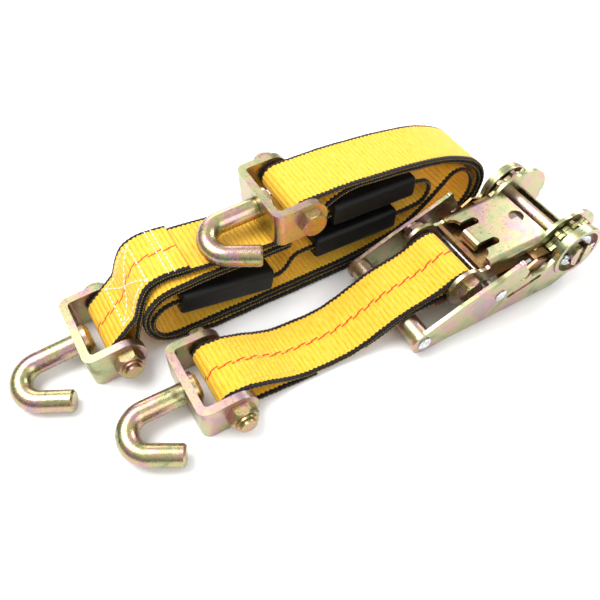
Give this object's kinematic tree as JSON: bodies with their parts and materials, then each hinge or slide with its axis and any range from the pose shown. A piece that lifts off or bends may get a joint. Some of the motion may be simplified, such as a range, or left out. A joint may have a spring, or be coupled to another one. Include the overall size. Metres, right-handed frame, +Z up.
{
  "type": "ratchet strap",
  "caption": "Two-inch tie-down set: a short strap with swivel J-hook and ratchet buckle, and a folded long strap with two swivel J-hooks and rubber grip blocks.",
  "frame": {"origin": "under the middle of the laid-out set's outline, on the surface that it lies on", "axes": "+X along the straps, from the hook ends towards the ratchet's spindle; +Y from the short strap towards the folded long strap; +Z up"},
  "size_m": [0.4492, 0.1835, 0.0875],
  "materials": {
    "webbing": "woven polyester, transverse ribs, black selvedges",
    "zinc_rod": "yellow chromate zinc plate on a forged rod, iridescent",
    "zinc_plate": "yellow chromate zinc plate on pressed steel, iridescent",
    "zinc_fastener": "yellow chromate zinc plate, darker in the recesses",
    "zinc_machined": "yellow chromate zinc plate on cut steel",
    "bright_steel": "bright zinc, silver",
    "rubber": "matte black moulded rubber"
  },
  "bodies": {
    "ratchet_frame_and_long_strap": {"ratchet_frame": "zinc_plate", "anchor_bolt": "zinc_fastener", "anchor_nut": "zinc_fastener", "anchor_sleeve": "zinc_fastener", "lock_pawl_spring": "bright_steel", "long_webbing": "webbing"},
    "front_strap": {"front_webbing": "webbing"},
    "yoke_1": {"yoke_1": "zinc_plate", "yoke_bolt_1": "zinc_fastener", "yoke_nut_1": "zinc_fastener", "yoke_sleeve_1": "zinc_fastener"},
    "yoke_2": {"yoke_2": "zinc_plate", "yoke_bolt_2": "zinc_fastener", "yoke_nut_2": "zinc_fastener", "yoke_sleeve_2": "zinc_fastener"},
    "yoke_3": {"yoke_3": "zinc_plate", "yoke_bolt_3": "zinc_fastener", "yoke_nut_3": "zinc_fastener", "yoke_sleeve_3": "zinc_fastener"},
    "hook_1": {"hook_1": "zinc_rod"},
    "hook_2": {"hook_2": "zinc_rod"},
    "hook_3": {"hook_3": "zinc_rod"},
    "rubber_block_1": {"rubber_block_1": "rubber"},
    "rubber_block_2": {"rubber_block_2": "rubber"},
    "rubber_block_3": {"rubber_block_3": "rubber"},
    "spindle": {"spindle_half_a": "zinc_machined", "spindle_half_b": "zinc_machined", "ratchet_wheel_near": "zinc_machined", "ratchet_wheel_far": "zinc_machined", "spindle_washer_near": "bright_steel", "spindle_washer_far": "bright_steel", "cotter_pin_near": "bright_steel", "cotter_pin_far": "bright_steel"},
    "handle": {"handle_plate_near": "zinc_plate", "handle_plate_far": "zinc_plate", "grip_channel": "zinc_plate", "grip_rivet": "bright_steel", "handle_cross_pin": "bright_steel", "drive_pawl_spring": "bright_steel"},
    "lock_pawl": {"lock_pawl": "zinc_plate"},
    "drive_pawl": {"drive_pawl": "zinc_plate"}
  },
  "joints": [
    {"name": "front_strap_lift", "type": "hinge", "parent": "ratchet_frame_and_long_strap", "child": "front_strap", "pos_m": [0.0965, -0.043, 0.034], "axis": [0, 1, 0], "range_deg": [0, 60]},
    {"name": "yoke_1_swing", "type": "hinge", "parent": "ratchet_frame_and_long_strap", "child": "yoke_1", "pos_m": [-0.143, 0.039, 0.0165], "axis": [0, 1, 0], "range_deg": [0, 45]},
    {"name": "yoke_2_swing", "type": "hinge", "parent": "front_strap", "child": "yoke_2", "pos_m": [-0.092, -0.038, 0.0145], "axis": [0, 1, 0], "range_deg": [0, 90]},
    {"name": "yoke_3_swing", "type": "hinge", "parent": "ratchet_frame_and_long_strap", "child": "yoke_3", "pos_m": [0.012, 0.046, 0.073], "axis": [0, 1, 0], "range_deg": [0, 90]},
    {"name": "hook_1_swivel", "type": "hinge", "parent": "yoke_1", "child": "hook_1", "pos_m": [-0.143, 0.039, 0.0165], "axis": [-0.9976, 0, -0.0698], "continuous": true},
    {"name": "hook_2_swivel", "type": "hinge", "parent": "yoke_2", "child": "hook_2", "pos_m": [-0.092, -0.038, 0.0145], "axis": [-1, 0, 0], "range_deg": [0, 110]},
    {"name": "hook_3_swivel", "type": "hinge", "parent": "yoke_3", "child": "hook_3", "pos_m": [0.012, 0.046, 0.073], "axis": [-0.9994, 0, -0.0349], "range_deg": [0, 180]},
    {"name": "rubber_block_1_slide", "type": "slide", "parent": "ratchet_frame_and_long_strap", "child": "rubber_block_1", "axis": [0.9792, 0, -0.2027], "range_m": [-0.003, 0.003]},
    {"name": "rubber_block_2_slide", "type": "slide", "parent": "ratchet_frame_and_long_strap", "child": "rubber_block_2", "axis": [0.9994, 0, -0.0348], "range_m": [-0.006, 0.006]},
    {"name": "rubber_block_3_slide", "type": "slide", "parent": "ratchet_frame_and_long_strap", "child": "rubber_block_3", "axis": [0.9994, 0, -0.0345], "range_m": [0, 0.003]},
    {"name": "spindle_turn", "type": "hinge", "parent": "ratchet_frame_and_long_strap", "child": "spindle", "pos_m": [0.1935, -0.043, 0.035], "axis": [0, 1, 0], "continuous": true},
    {"name": "handle_swing", "type": "hinge", "parent": "ratchet_frame_and_long_strap", "child": "handle", "pos_m": [0.1935, -0.043, 0.035], "axis": [0, -1, 0], "range_deg": [0, 175]},
    {"name": "lock_pawl_slide", "type": "slide", "parent": "ratchet_frame_and_long_strap", "child": "lock_pawl", "axis": [-1, 0, 0], "range_m": [0, 0.005], "stiffness_N_per_m": 400, "deforming": ["lock_pawl_spring"]},
    {"name": "drive_pawl_slide", "type": "slide", "parent": "handle", "child": "drive_pawl", "axis": [-0.9723, 0, -0.2339], "range_m": [0, 0.0055], "stiffness_N_per_m": 400, "deforming": ["drive_pawl_spring"]}
  ]
}
